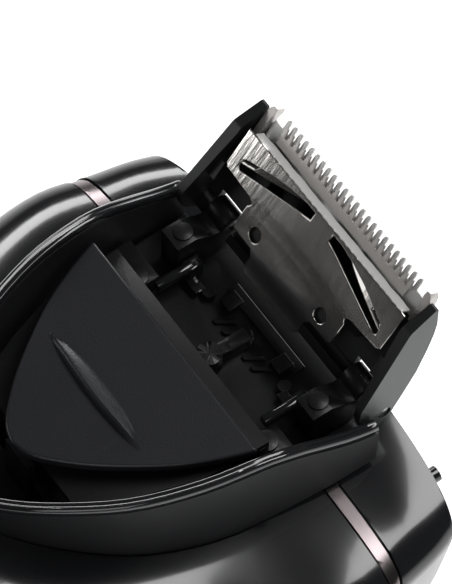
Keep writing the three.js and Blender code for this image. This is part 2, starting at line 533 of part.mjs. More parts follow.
// ---- assembly ----
add(shaver, "back_shell", backShell(), gloss);
add(shaver, "front_shell", frontShell(), gloss);
add(shaver, "neck_ring", neckRing(), chrome);
add(shaver, "drive_plate", drivePlate(), matte);
add(shaver, "spine", spine(), matte);
add(shaver, "spine_rim", rim(), gloss);
add(shaver, "trimmer_bay", bay(), matte);
add(shaver, "latch_left", latch(-1), gloss);
add(shaver, "latch_right", latch(1), gloss);
add(shaver, "bay_crossbar", crossbar(), satin);
add(shaver, "drive_lever", lever(), satin);
add(shaver, "release_slide", panel(), satin);
add(shaver, "slide_spring", slideSpring(), steel);
add(shaver, "status_lens", lens(), amber);
add(shaver, "power_button", button(), chrome);
add(shaver, "circuit_board", board(), green);
add(shaver, "switch_block", switchBlock(), white);
add(shaver, "battery", battery(), sleeve);
add(shaver, "charging_socket", socket(), matte);
[["left", -1], ["right", 1]].forEach(([where, s]) => {
  add(shaver, "socket_pin_" + where, socketPin(s), brass);
  add(shaver, "grip_" + where, grip(s), rubber);
  add(trimmer, "guard_" + where, guard(s), steel);
  add(trimmer, "hinge_pin_" + where, hingePin(s), steel);
});
SCREWS.forEach((at, i) => add(shaver, "screw_" + (i + 1), screw(at), steel));
add(trimmer, "trimmer_frame", frameBox(), satin);
add(trimmer, "spring_plate", springPlate(), steel);
add(trimmer, "trimmer_comb", comb(), steel);
add(trimmer, "trimmer_cutter", cutter(), steel);
add(shaver, "unit_base", unitBase(), gloss);
add(shaver, "unit_frame", unitFrame(), satin);
add(head, "motor", motor(), steel);
add(head, "middle_gear", sun(), brass);
CAPS.forEach((at, i) => {
  add(head, "cap_ring_" + (i + 1), capRing(at), gloss);
  add(head, "cap_guard_" + (i + 1), guardCap(at), steel);
  add(head, "cutter_" + (i + 1), bladeRing(at), steel);
  add(head, "drive_gear_" + (i + 1), drive(at, i), white);
});
trimmer.rotation.x = THREE.MathUtils.degToRad(OPEN);
trimmer.position.set(0, HINGE.y, HINGE.z);
head.applyMatrix4(toHead);
shaver.add(trimmer, head);
shaver.updateMatrixWorld(true);
const whole = new THREE.Box3().setFromObject(shaver, true);
shaver.position.set(0, -(whole.min.y + whole.max.y) / 2, -whole.min.z);

export default shaver;
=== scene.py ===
"""Rotary electric shaver seen over its back: the pop-up trimmer stands open over its bay."""

import bpy
import math
from mathutils import Matrix, Vector


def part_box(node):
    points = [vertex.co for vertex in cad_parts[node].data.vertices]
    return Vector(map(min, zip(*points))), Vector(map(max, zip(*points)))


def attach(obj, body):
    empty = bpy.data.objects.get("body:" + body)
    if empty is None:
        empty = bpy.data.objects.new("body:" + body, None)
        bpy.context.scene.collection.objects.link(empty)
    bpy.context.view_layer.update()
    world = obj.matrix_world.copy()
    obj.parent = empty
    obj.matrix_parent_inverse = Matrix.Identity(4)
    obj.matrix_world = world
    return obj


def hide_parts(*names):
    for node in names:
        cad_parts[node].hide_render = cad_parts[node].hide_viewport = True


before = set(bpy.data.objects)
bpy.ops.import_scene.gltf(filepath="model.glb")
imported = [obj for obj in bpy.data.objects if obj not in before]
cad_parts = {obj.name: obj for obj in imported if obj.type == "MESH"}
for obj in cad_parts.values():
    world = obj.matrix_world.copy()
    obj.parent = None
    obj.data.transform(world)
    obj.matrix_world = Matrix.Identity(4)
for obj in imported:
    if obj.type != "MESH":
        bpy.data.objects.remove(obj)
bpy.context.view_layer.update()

# ---- Datum and camera ----
# All sizes below are millimetres from a datum on the top face of the release slide, over the middle plane.
# The camera looks down on the back from the right, close in, with a long lens.
MM = 0.001
pin_low, pin_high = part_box("hinge_pin_left")
HINGE = Vector((0, 9.1, -6.8))
DATUM = Vector((0, (pin_low.y + pin_high.y) / 2, (pin_low.z + pin_high.z) / 2)) - HINGE * MM
BODY = Matrix.Translation(DATUM) @ Matrix.Scale(MM, 4)
eye = Vector((182.1, -139.2, 410.9))
ahead = Vector((-0.391, 0.296, -0.871)).normalized()
across = Vector((0.575, 0.818, 0.02))
across = (across - ahead * across.dot(ahead)).normalized()
upward = across.cross(ahead)
bpy.ops.object.camera_add()
camera = bpy.context.object
camera.matrix_world = Matrix.Translation(BODY @ eye) @ Matrix((across, upward, -ahead)).transposed().to_4x4()
camera.data.sensor_fit = "HORIZONTAL"
camera.data.sensor_width = 36
camera.data.lens = 300.7
camera.data.clip_start = 0.01
bpy.context.scene.camera = camera

# ---- Light ----
# A dim studio with pale walls low round a light table: the glossy shell mirrors the bright horizon and stays
# black above it; the wall towards the foot is dark. Softboxes stand behind the left shoulder, behind the
# head, over the trimmer and in front, and a small one close by grazes the spring plate.
bpy.context.scene.view_settings.view_transform = "Standard"
world = bpy.data.worlds.new("studio")
bpy.context.scene.world = world
world.use_nodes = True
sky = world.node_tree
heading = sky.nodes.new("ShaderNodeTexCoord")
parts = sky.nodes.new("ShaderNodeSeparateXYZ")
walls = sky.nodes.new("ShaderNodeMapRange")
walls.interpolation_type = "SMOOTHSTEP"
walls.inputs["From Min"].default_value = 0.0
walls.inputs["From Max"].default_value = 0.2
walls.inputs["To Min"].default_value = 0.95
walls.inputs["To Max"].default_value = 0.05
shade_wall = sky.nodes.new("ShaderNodeMapRange")
shade_wall.interpolation_type = "SMOOTHSTEP"
shade_wall.inputs["From Min"].default_value = -0.85
shade_wall.inputs["From Max"].default_value = -0.1
shade_wall.inputs["To Min"].default_value = 0.03
level = sky.nodes.new("ShaderNodeMath")
level.operation = "MULTIPLY"
sky.links.new(heading.outputs["Generated"], parts.inputs["Vector"])
sky.links.new(parts.outputs["Z"], walls.inputs["Value"])
sky.links.new(parts.outputs["Y"], shade_wall.inputs["Value"])
sky.links.new(walls.outputs["Result"], level.inputs[0])
sky.links.new(shade_wall.outputs["Result"], level.inputs[1])
sky.links.new(level.outputs["Value"], sky.nodes["Background"].inputs["Strength"])
sky.nodes["Background"].inputs["Color"].default_value = (1, 1, 1, 1)


def softbox(name, at, size, power, target=(0, 0, -10)):
    bpy.ops.object.light_add(type="AREA", location=BODY @ Vector(at))
    lamp = bpy.context.object
    lamp.name = name
    lamp.data.shape = "RECTANGLE"
    lamp.data.size, lamp.data.size_y = (s * MM for s in size)
    lamp.data.energy = power
    lamp.rotation_euler = (BODY @ Vector(target) - lamp.location).to_track_quat("-Z", "Y").to_euler()


softbox("left_shoulder_light", (-420, 160, 190), (220, 60), 0.36)
softbox("back_wall_light", (-150, 340, 40), (220, 110), 0.4)
softbox("trimmer_light", (60, 330, 420), (300, 220), 1.3)
softbox("front_fill", (300, -300, 330), (300, 300), 0.45)
softbox("plate_light", (-130, -150, 38), (70, 70), 0.05, (-14, 12, 6))

# ---- Floor ----
# Plain white light table, lit from within, on which the shaving unit rests.
bpy.ops.mesh.primitive_plane_add(size=6)
floor = bpy.context.object
floor.name = "floor"
paint = bpy.data.materials.new("pale_table")
paint.use_nodes = True
paint.node_tree.nodes["Principled BSDF"].inputs["Base Color"].default_value = (0.95, 0.95, 0.95, 1)
paint.node_tree.nodes["Principled BSDF"].inputs["Roughness"].default_value = 0.9
paint.node_tree.nodes["Principled BSDF"].inputs["Emission Color"].default_value = (1, 1, 1, 1)
paint.node_tree.nodes["Principled BSDF"].inputs["Emission Strength"].default_value = 0.9
floor.data.materials.append(paint)


# ---- Handle shells, neck ring and shaving unit body: one smooth form ----
# Gloss moulded plastic. The form is a rounded body whose section is widest near the back; it is built as a
# closed loft, then cut along the parting line, the neck joint and the face, as the real shells part.
def finish(name, color, rough, metal=0.0, grain=2500, bump=0.1, uneven=0.2, stretch=(1, 1, 1), coat=0.0, wear=0.1):
    mat = bpy.data.materials.new(name)
    mat.use_nodes = True
    nodes, links = mat.node_tree.nodes, mat.node_tree.links
    shader = nodes["Principled BSDF"]
    place = nodes.new("ShaderNodeTexCoord")
    scale = nodes.new("ShaderNodeMapping")
    scale.inputs["Scale"].default_value = stretch
    fine = nodes.new("ShaderNodeTexNoise")
    fine.inputs["Scale"].default_value = grain
    fine.inputs["Detail"].default_value = 4
    broad = nodes.new("ShaderNodeTexNoise")
    broad.inputs["Scale"].default_value = 90
    broad.inputs["Detail"].default_value = 3
    gloss = nodes.new("ShaderNodeMapRange")
    gloss.inputs["To Min"].default_value = rough * (1 - uneven)
    gloss.inputs["To Max"].default_value = rough * (1 + uneven)
    tint = nodes.new("ShaderNodeMapRange")
    tint.inputs["To Min"].default_value = 1 - wear
    tint.inputs["To Max"].default_value = 1 + wear
    shade = nodes.new("ShaderNodeVectorMath")
    shade.operation = "SCALE"
    shade.inputs[0].default_value = color
    relief = nodes.new("ShaderNodeBump")
    relief.inputs["Strength"].default_value = bump
    relief.inputs["Distance"].default_value = 0.00005
    links.new(place.outputs["Object"], scale.inputs["Vector"])
    links.new(scale.outputs["Vector"], fine.inputs["Vector"])
    links.new(place.outputs["Object"], broad.inputs["Vector"])
    links.new(broad.outputs["Fac"], gloss.inputs["Value"])
    links.new(broad.outputs["Fac"], tint.inputs["Value"])
    links.new(gloss.outputs["Result"], shader.inputs["Roughness"])
    links.new(tint.outputs["Result"], shade.inputs["Scale"])
    links.new(shade.outputs["Vector"], shader.inputs["Base Color"])
    links.new(fine.outputs["Fac"], relief.inputs["Height"])
    links.new(relief.outputs["Normal"], shader.inputs["Normal"])
    shader.inputs["Metallic"].default_value = metal
    shader.inputs["Coat Weight"].default_value = coat
    shader.inputs["Coat Roughness"].default_value = 0.06
    return mat


def pick(obj):
    bpy.ops.object.select_all(action="DESELECT")
    obj.select_set(True)
    bpy.context.view_layer.objects.active = obj


def mesh(name, verts, faces, place=BODY):
    data = bpy.data.meshes.new(name)
    data.from_pydata([place @ Vector(v) for v in verts], [], faces)
    obj = bpy.data.objects.new(name, data)
    bpy.context.scene.collection.objects.link(obj)
    pick(obj)
    bpy.ops.object.mode_set(mode="EDIT")
    bpy.ops.mesh.select_all(action="SELECT")
    bpy.ops.mesh.remove_doubles(threshold=1e-6)
    bpy.ops.mesh.normals_make_consistent(inside=False)
    bpy.ops.object.mode_set(mode="OBJECT")
    return obj


def slab(name, outline, low, high, axis="Z", place=BODY):
    spot = {"X": lambda a, b, h: (h, a, b), "Y": lambda a, b, h: (a, h, b), "Z": lambda a, b, h: (a, b, h)}[axis]
    obj = mesh(name, [spot(a, b, low) for a, b in outline], [list(range(len(outline)))], place)
    start, end = place @ Vector(spot(0, 0, low)), place @ Vector(spot(0, 0, high))
    bpy.ops.object.mode_set(mode="EDIT")
    bpy.ops.mesh.select_all(action="SELECT")
    bpy.ops.mesh.extrude_region_move(TRANSFORM_OT_translate={"value": end - start})
    bpy.ops.mesh.select_all(action="SELECT")
    bpy.ops.mesh.normals_make_consistent(inside=False)
    bpy.ops.object.mode_set(mode="OBJECT")
    return obj


def modify(obj, kind, **settings):
    change = obj.modifiers.new(kind.lower(), kind)
    for key, value in settings.items():
        setattr(change, key, value)
    pick(obj)
    bpy.ops.object.modifier_apply(modifier=change.name)


def cut(obj, tool, operation="DIFFERENCE"):
    modify(obj, "BOOLEAN", object=tool, operation=operation, solver="EXACT")
    bpy.data.objects.remove(tool)


def soften(obj, width, segments=2, angle=34, smooth=34):
    if width:
        limit = math.radians(angle)
        modify(obj, "BEVEL", width=width * MM, segments=segments, limit_method="ANGLE", angle_limit=limit)
    pick(obj)
    bpy.ops.object.shade_smooth_by_angle(angle=math.radians(smooth))
    modify(obj, "WEIGHTED_NORMAL", keep_sharp=True, weight=100)


def fit(obj, mat, body, slot, *nodes):
    obj.data.materials.clear()
    obj.data.materials.append(mat)
    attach(obj, body)
    if nodes:
        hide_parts(*nodes)


def glide(points, u):
    """A smooth line through points, read at u from 0 to the last index."""
    i = min(int(u), len(points) - 2)
    t = u - i
    p0, p1, p2, p3 = (points[min(max(i + k, 0), len(points) - 1)] for k in (-1, 0, 1, 2))
    return tuple(
        0.5 * (2 * b + (c - a) * t + (2 * a - 5 * b + 4 * c - d) * t * t + (3 * b - a - 3 * c + d) * t ** 3)
        for a, b, c, d in zip(p0, p1, p2, p3)
    )


LENGTH, WIDEST, WALL = 134, 36.2, 1.8
FORM = [
    (-1, 0.4, -29, -20, -12), (-0.985, 0.5, -33, -20, -8), (-0.95, 0.6, -37.5, -20, -4.6),
    (-0.86, 0.7, -40.5, -20.5, -2.6), (-0.7, 0.74, -42, -21, -2), (-0.52, 0.76, -43, -21, -2),
    (-0.38, 0.8, -45, -21, -3.6), (-0.28, 0.87, -48, -21, -7.4), (-0.19, 0.94, -52.5, -21, -10.6),
    (-0.11, 1.02, -56.5, -21, -12.6), (-0.04, 1.045, -58.8, -21, -13.6), (0.015, 1, -59.5, -21, -14),
    (0.06, 0.965, -59.5, -21, -14.1), (0.095, 0.915, -59.5, -21, -14.3), (0.125, 0.85, -59.5, -21, -14.8),
    (0.15, 0.76, -59.5, -21, -15.6),
]


AROUND, STEPS, SQUARENESS = 88, 4, 2.7


def form(name, inset, first=0):
    """The body's form, drawn in by inset, from one of its rows to the head end."""
    rows = FORM[first:]
    around, steps = AROUND, STEPS
    count = (len(rows) - 1) * steps + 1
    verts, faces = [], []
    for r in range(count):
        f, w, low, middle, high = glide(rows, r / steps)
        end = inset if first == 0 and r == 0 else -inset if r == count - 1 else 0
        for k in range(around):
            a = 2 * math.pi * k / around
            c, s = (math.copysign(abs(v) ** (2 / SQUARENESS), v) for v in (math.cos(a), math.sin(a)))
            rise = (high - middle if s > 0 else middle - low) - inset
            verts.append((c * (w * WIDEST - inset), f * LENGTH + end, middle + s * rise))
    for r in range(count - 1):
        for k in range(around):
            a, b = r * around + k, r * around + (k + 1) % around
            faces.append((a, b, b + around, a + around))
    faces += [list(range(around)), list(range((count - 1) * around, count * around))]
    return mesh(name, verts, faces)


# The neck joint seen from the side, as heights and the places along the body at each.
NECK = [(0, -4.3), (-8, -2), (-14, -0.2), (-18, 0), (-22, -2), (-27, -4.6), (-35, -8.3), (-44, -12.5),
        (-52, -16.2), (-60, -20)]


WIDE = 60  # beyond both flanks


def neck_tool(shift, beyond):
    line = [glide(NECK, u / 3) for u in range(3 * len(NECK) - 2)]
    line = [(y + shift, z) for z, y in line]
    end = 80 if beyond else -200
    far = [(NECK[-1][1] + shift, -66), (end, -66), (end, 20), (line[0][0], 20)]
    return slab("neck_tool", line + far, -WIDE, WIDE, "X")


def block(name, x0, x1, y0, y1, z0, z1, place=BODY):
    bpy.ops.mesh.primitive_cube_add(size=1)
    obj = bpy.context.object
    obj.name = name
    middle = Matrix.Translation(((x0 + x1) / 2, (y0 + y1) / 2, (z0 + z1) / 2))
    obj.data.transform(place @ middle @ Matrix.Diagonal((x1 - x0, y1 - y0, z1 - z0, 1)))
    return obj


def rod(name, at, radius, low, high, axis="Z", sides=40, place=BODY):
    bpy.ops.mesh.primitive_cone_add(vertices=sides, radius1=radius, radius2=radius, depth=high - low)
    obj = bpy.context.object
    obj.name = name
    quarter = math.pi / 2
    turn = {"X": Matrix.Rotation(quarter, 4, "Y"), "Y": Matrix.Rotation(-quarter, 4, "X"), "Z": Matrix()}[axis]
    middle = (low + high) / 2
    spot = {"X": (middle, *at), "Y": (at[0], middle, at[-1]), "Z": (*at, middle)}[axis]
    obj.data.transform(place @ Matrix.Translation(spot) @ turn)
    return obj


EDGE = [(21.9, 6.8), (21.8, 0), (21.1, -9), (19.7, -18), (16.5, -27), (11.1, -35), (5.5, -40.4), (1.5, -42.6)]


def spine_outline(inset, head_end):
    right = []
    for u in range(4 * len(EDGE) - 3):
        x, y = glide(EDGE, u / 4)
        right.append((max(x - inset, 0.4), max(y, -42.6 + inset)))
    right[0] = (right[0][0], head_end)
    return right + [(-x, y) for x, y in reversed(right)]


gloss = finish("gloss_black_shell", (0.012, 0.0125, 0.014), 0.13, grain=500, bump=0.02, uneven=0.35, coat=0.5)
SPLIT, FOOT, GAP = -25, -13.5, 0.3
RING = (-0.6, 1.1)
SCREW_YS, SCREW_HOLE = (-100, -56), 2.3
INLET = (-4.9, 4.9, -139, -122, -25.8, -18.2)
back = form("back_shell_skin", 0)
cut(back, block("part_off", -WIDE, WIDE, -200, WIDE, SPLIT + GAP / 2, 20), "INTERSECT")
cut(back, neck_tool(RING[0] - GAP, False), "INTERSECT")
cut(back, form("inside", WALL))
cut(back, slab("spine_seat", spine_outline(-GAP, 40), FOOT - GAP, 20))
for y in SCREW_YS:
    cut(back, rod("screw_hole", (0, y), SCREW_HOLE, -30, 10))
cut(back, block("lens_seat", -1.9, 1.9, -85.3, -75.7, -20, 5))
cut(back, block("inlet", *INLET))
soften(back, 0.3, 3, 40)
fit(back, gloss, "handle", "gloss_black", "back_shell")

front = form("front_shell_skin", 0)
cut(front, block("part_off", -WIDE, WIDE, -200, WIDE, -80, SPLIT - GAP / 2), "INTERSECT")
cut(front, neck_tool(RING[0] - GAP, False), "INTERSECT")
cut(front, form("inside", WALL))
cut(front, rod("button_hole", (0, -64), 8.5, -60, -30, sides=64))
cut(front, block("inlet", *INLET))
for side in (-1, 1):
    lane = sorted((side * 12, side * WIDE))
    cut(front, block("grip_seat", *lane, -112.3, -39.7, -39.3, -26.7))
soften(front, 0.3, 3, 40)
fit(front, gloss, "handle", "gloss_black", "front_shell")

# The shaving face: its back edge, how far its middle lies from that edge, and its tilt. Its own frame has
# the origin in its middle and +Z out of it.
FACE_Y, FACE_Z, FACE_MIDDLE = 13.6, -13, 25.7
TS, TC = math.sin(math.radians(25)), math.cos(math.radians(25))
HEAD = BODY @ Matrix((
    (-1, 0, 0, 0),
    (0, TS, TC, FACE_Y - FACE_MIDDLE * TS),
    (0, TC, -TS, FACE_Z - FACE_MIDDLE * TC),
    (0, 0, 0, 1),
))
GEAR_MODULE, GEAR_TEETH, DRIVE_Y = 0.62, (16, 35), 2.7
SPREAD = GEAR_MODULE * sum(GEAR_TEETH) / 2
CAPS = [(SPREAD * math.cos(a), DRIVE_Y + SPREAD * math.sin(a)) for a in map(math.radians, (156, 24, -90))]
unit = form("shaving_unit_skin", 0, first=7)
cut(unit, neck_tool(RING[1] + GAP, True), "INTERSECT")
cut(unit, block("face_cut", -WIDE, WIDE, -80, 80, -90, 0, HEAD), "INTERSECT")
for cap in CAPS:
    cut(unit, rod("cap_well", cap, 12.8, -7.6, 9, sides=72, place=HEAD))
    cut(unit, rod("spindle_bore", cap, 4.4, -40, 9, place=HEAD))
cut(unit, rod("unit_peg", (26.6, -17.2), 1.1, 8, 13.2, "Y", 28), "UNION")
soften(unit, 0.9, 4, 40)
fit(unit, gloss, "shaving_unit", "gloss_black", "unit_base", "unit_frame")

chrome = finish("neck_chrome", (0.22, 0.19, 0.195), 0.2, metal=1.0, grain=900, bump=0.03, uneven=0.3)
ring = form("neck_ring_band", 0.2)
cut(ring, neck_tool(RING[0], True), "INTERSECT")
cut(ring, neck_tool(RING[1], False), "INTERSECT")
cut(ring, form("inside", WALL))
cut(ring, slab("spine_seat", spine_outline(-GAP, 40), FOOT - GAP, 20))
soften(ring, 0.2, 3, 40)
fit(ring, chrome, "handle", "chrome", "neck_ring")

# ---- Spine: wall and floor round the trimmer bay, with a rolled glossy rim ----
# Matte black moulding let into the back of the shells. Its wall follows the edge line in plan and a rising
# line from the side; the rim is a separate glossy bead swept along that edge.
TOP = [(6.8, -5.6), (3.5, -4.4), (0, -2.6), (-4.5, -0.2), (-9, 1.4), (-15, 2), (-24, 2), (-33, 1.4), (-43, -0.4)]


def crest(y):
    i = next((k for k in range(len(TOP) - 1) if TOP[k + 1][0] <= y), len(TOP) - 2)
    t = min(max((TOP[i][0] - y) / (TOP[i][0] - TOP[i + 1][0]), 0), 1)
    return glide(TOP, i + t)[1]


def rings_mesh(name, rings, place=BODY):
    n = len(rings[0])
    verts = [p for ring in rings for p in ring]
    faces = []
    for r in range(len(rings) - 1):
        for k in range(n):
            a, b = r * n + k, r * n + (k + 1) % n
            faces.append((a, b, b + n, a + n))
    faces += [list(range(n)), list(range((len(rings) - 1) * n, len(rings) * n))]
    return mesh(name, verts, faces, place)


def sweep(name, line, section):
    """A section, given as distances to the right of the line and up, carried along the line."""
    rings = []
    for i, spot in enumerate(line):
        along = Vector(line[min(i + 1, len(line) - 1)]) - Vector(line[max(i - 1, 0)])
        right = Vector((along.y, -along.x, 0)).normalized()
        rings.append([tuple(Vector(spot) + right * a + Vector((0, 0, b))) for a, b in section])
    return rings_mesh(name, rings)


matte = finish("matte_black_moulding", (0.017, 0.0175, 0.019), 0.42, grain=3500, bump=0.25, uneven=0.15)
rim_gloss = finish("rim_gloss", (0.016, 0.0165, 0.018), 0.1, grain=700, bump=0.03, coat=0.6)
spine = slab("spine_wall", spine_outline(0, 6.8), FOOT, 5)
SPINE_WALL, BAY_FLOOR, UNDER_RIM = 1.6, -12.9, 1.05
cut(spine, slab("bay_room", spine_outline(SPINE_WALL, 12), BAY_FLOOR, 20))
edge_line = [(y, crest(y) - UNDER_RIM) for y in [6.9 - 0.7 * k for k in range(72)]]
cut(spine, slab("over_edge", [(12, edge_line[0][1])] + edge_line + [(-60, 30), (12, 30)], -40, 40, "X"))
cut(spine, block("floor_opening", -12, 12, -31.2, -10, -15, -11.9))
cut(spine, block("spring_stop", -2.4, 2.4, -32.7, -31.7, FOOT, -3.8), "UNION")
for rib_x, rib_y in ((9.9, -28.4), (-9.2, -28.9)):
    cut(spine, block("cavity_rib", rib_x - 0.4, rib_x + 0.4, rib_y - 6.4, rib_y, -13.2, -9.6), "UNION")
soften(spine, 0.18, 2, 34)
fit(spine, matte, "handle", "matte_black", "spine")

rim_path = []
for x, y in spine_outline(0.85, 6.6):
    rim_path.append((x, max(y, -42), crest(y) - 0.02))
BEAD = [(-0.85, -0.72), (-0.85, -0.1), (-0.74, 0.2), (-0.52, 0.4), (-0.3, 0.44), (-0.12, 0.36), (0.0, 0.3),
        (0.14, 0.37), (0.34, 0.4), (0.56, 0.3), (0.7, 0.06), (0.75, -0.3), (0.75, -0.72)]
bead = sweep("rim_bead", rim_path, BEAD)
for side in (-1, 1):
    cut(bead, rod("collar", (side * 21.0, -5.9), 0.86, 5.4, 6.8, "Y", 32), "UNION")
soften(bead, 0.08, 2, 50)
fit(bead, rim_gloss, "handle", "gloss_black", "spine_rim")

# ---- Release slide: thumb slide with a cross ridge, over its spring ----
# Satin charcoal moulding, 1.5 mm thick, that pushes towards the foot on a guide rail. The ridge rises gently
# from the head side and drops sharply behind its crest.
satin = finish("satin_charcoal", (0.0205, 0.0212, 0.0248), 0.36, grain=5200, bump=0.5, uneven=0.1, wear=0.06)
HALF = [(18, -9), (16.2, -13.9), (13.7, -19.1), (9, -26), (5.2, -30.3), (2.5, -32.5), (0, -33.3)]
side_line = [glide(HALF, u / 4) for u in range(4 * len(HALF) - 3)]
side_line[-1] = (0, -33.3)
THICK = 1.5
slide = slab("thumb_slide", side_line + [(-x, y) for x, y in reversed(side_line[:-1])], -THICK, 0)
soften(slide, 0.45, 4, 40)
RIDGE_HALF, RIDGE_RISE, ACROSS = 9.9, 0.9, 32
rings = []
for k in range(ACROSS + 1):
    x = RIDGE_HALF * (2 * k / ACROSS - 1)
    lift = RIDGE_RISE * max(1 - abs(x / (RIDGE_HALF + 0.05)) ** 3.2, 0) ** 0.8
    sag = 0.7 * (x / RIDGE_HALF) ** 2
    crease_y, top_y = -21.9 + sag, -21.35 + sag
    head_y = -19.25 - 1.9 * abs(x / RIDGE_HALF) ** 3
    rings.append([
        (x, head_y, -0.7),
        (x, head_y, -0.02),
        (x, (head_y * 2 + top_y) / 3, 0.333 * lift),
        (x, (head_y + 3 * top_y) / 4, 0.867 * lift),
        (x, top_y, lift),
        (x, crease_y + 0.18, 0.822 * lift),
        (x, crease_y, -0.02),
        (x, crease_y, -0.7),
    ])
cut(slide, rings_mesh("thumb_ridge", rings), "UNION")
cut(slide, block("guide_rail", -1.7, 1.7, -24, -14, -6.4, -1.3), "UNION")
cut(slide, block("guide_runner", -2.6, 2.6, -24, -14, -6.4, -5), "UNION")
cut(slide, rod("spring_pin", (0, -4.9), 0.55, -28.2, -23.8, "Y", 24), "UNION")
soften(slide, 0, smooth=28)
fit(slide, satin, "release_slide", "satin_grey", "release_slide")

# ---- Trimmer frame: the open tray that carries the blades ----
# Satin grey-green metallic moulding, hollow behind the spring plate, drawn in its own frame with the pivot at
# the origin, +Y to the teeth and +Z towards the inner side.
TRIM = BODY @ Matrix.Translation(HINGE) @ Matrix.Rotation(math.radians(54.2), 4, "X")
shell_green = finish("trimmer_shell", (0.032, 0.039, 0.035), 0.34, metal=0.3, grain=3600, bump=0.5, uneven=0.12,
                     wear=0.15)
PROFILE = [
    (-2.35, 0.6), (-2.2, -0.5), (-1.6, -1.1), (0.2, -1.25), (3.5, -1.3), (6.8, -1.25), (10.5, -0.6),
    (13.2, 0.1), (15, 0.8), (17.6, 2.5), (17.5, 2.9), (17.1, 3.2), (14.2, 5.15), (13.7, 5.3), (1, 5.3),
    (-0.6, 4.6), (-2, 3.2), (-2.3, 2),
]
HALF_FOOT, HALF_TIP, SIDE_WALL = 20, 18.4, 1.2


def both_sides(right):
    return right + [(-x, y) for x, y in reversed(right)]


tray = slab("trimmer_tray", PROFILE, -30, 30, "X", TRIM)
taper = both_sides([(HALF_FOOT, -4), (HALF_FOOT, 0), (HALF_TIP, 18.1)])
cut(tray, slab("taper", taper, -6, 12, "Z", TRIM), "INTERSECT")
inside = [(HALF_FOOT, -6), (HALF_FOOT, 0), (HALF_TIP, 13), (HALF_TIP, 22)]
hollow = slab("hollow", both_sides([(x - SIDE_WALL, y) for x, y in inside]), -6, 12, "Z", TRIM)
COVER = [(-1.6, 0.2), (3, 0), (6.8, -0.2), (10.5, 0.4), (13.2, 1.2), (15.7, 1.2), (15.7, -9), (22, -9), (22, 20),
         (-9, 20), (-9, 0.6)]
cut(hollow, slab("over_cover", COVER, -30, 30, "X", TRIM), "INTERSECT")
cut(tray, hollow)
for side in (-1, 1):
    cut(tray, block("plate_rest", *sorted((side * 16.8, side * 18)), 5, 8, 0, 4.2, TRIM), "UNION")
    cut(tray, rod("plate_post", (side * 7, 4.8), 1.9, -0.4, 4.2, place=TRIM), "UNION")
    lane = sorted((side * 12.4, side * 17.1))
    cut(tray, rod("arm_room", (0, 0), 2.4, *lane, "X", place=TRIM))
    cut(tray, block("arm_slot", *lane, -9, 2, -9, 0, TRIM))
for k in range(5):
    x = -11.2 + 5.6 * k
    cut(tray, block("floor_rib", x - 0.35, x + 0.35, 5.4 if abs(x) > 5 else 7.4, 13, 0, 2.2, TRIM), "UNION")
cut(tray, rod("hinge_bore", (0, 0), 0.96, -30, 30, "X", place=TRIM))
soften(tray, 0.3, 3, 38)
fit(tray, shell_green, "trimmer", "trimmer_shell", "trimmer_frame")
tray.data.materials.append(finish("tray_inside", (0.009, 0.0095, 0.01), 0.5, grain=3200, bump=0.3, uneven=0.15))
local = TRIM.inverted()
for face in tray.data.polygons:
    spot, facing = local @ face.center, (local.to_3x3() @ face.normal).normalized()
    outside = facing.x * spot.x > 0 and abs(facing.x) > 0.4 and abs(spot.x) > 17.9 or facing.z < -0.3
    face.material_index = 0 if outside else 1

# ---- Spring plate: stamped steel that holds the blades down ----
# Bright sheet 0.4 mm thick with two locating holes, two long slots whose fingers bend down onto the cutter,
# and a flange folded down over the blade.
plate_steel = finish("stamped_plate", (0.83, 0.8, 0.77), 0.12, metal=1.0, grain=1500, bump=0.35, uneven=0.35,
                     stretch=(1, 0.12, 0.12), wear=0.05)
TOP_M, FOLD = 4.8, 14.6
SHEET = 0.4
half = [(5.3, 0.05), (5.8, 0.6), (5.8, 2.4), (6.4, 3.1), (10.0, 3.1), (10.4, 3.5), (10.4, 7.0), (10.2, 7.1),
        (10.0, 7.45), (10.2, 7.8), (10.7, 8.0), (15.9, 8.3), (16.4, 8.8), (16.4, FOLD)]
sheet = slab("spring_plate_sheet", both_sides(half), TOP_M - SHEET, TOP_M, "Z", TRIM)
slot_line = [(1.9, 12.9), (4.2, 12.35), (9.4, 10.85), (14.2, 9.42), (14.65, 9.6), (14.65, 10.8),
             (14.2, 11.2), (11.5, 12.2), (9.5, 12.9), (6.4, 13.7), (3.6, 14.1), (1.9, 14.1)]
for side in (-1, 1):
    cut(sheet, slab("slot", [(side * x, y) for x, y in slot_line], 3, 6, "Z", TRIM))
    cut(sheet, rod("locating_hole", (side * 7, 4.95), 1.03, 3, 6, place=TRIM))
wave = [(-15.5 + 31 * k / 40, 2.74 + 0.12 * math.sin(1.3 * k) * math.sin(0.37 * k + 1)) for k in range(41)]
flange = slab("flange", [(-15.5, 4.7)] + wave + [(15.5, 4.7)], FOLD - SHEET, FOLD, "Y", TRIM)
soften(flange, 0.14, 3, 40)
flange_steel = finish("folded_flange", (0.9, 0.9, 0.88), 0.3, metal=0.35, grain=1500, bump=0.3, stretch=(0.1, 1, 1))
fit(flange, flange_steel, "trimmer", "stamped_steel")
soften(sheet, 0.12, 3, 40)
for side in (-1, 1):
    rows = []
    for k in range(15):
        u = k / 14
        x = side * (14.9 - 10.6 * u)
        y = 10.7 + 3.05 * u
        drop = 0.1 + 1.15 * u * u
        near, far = (y + half_way * 1.15 * (1 - 0.45 * u) for half_way in (-0.5, 0.5))
        low = TOP_M - 0.42 - drop
        high = low + 0.3
        rows.append([(x, near, low), (x, far, low), (x, far, high), (x, near, high)])
    cut(sheet, rings_mesh("finger", rows, place=TRIM), "UNION")
soften(sheet, 0, smooth=30)
fit(sheet, plate_steel, "trimmer", "stamped_steel", "spring_plate")

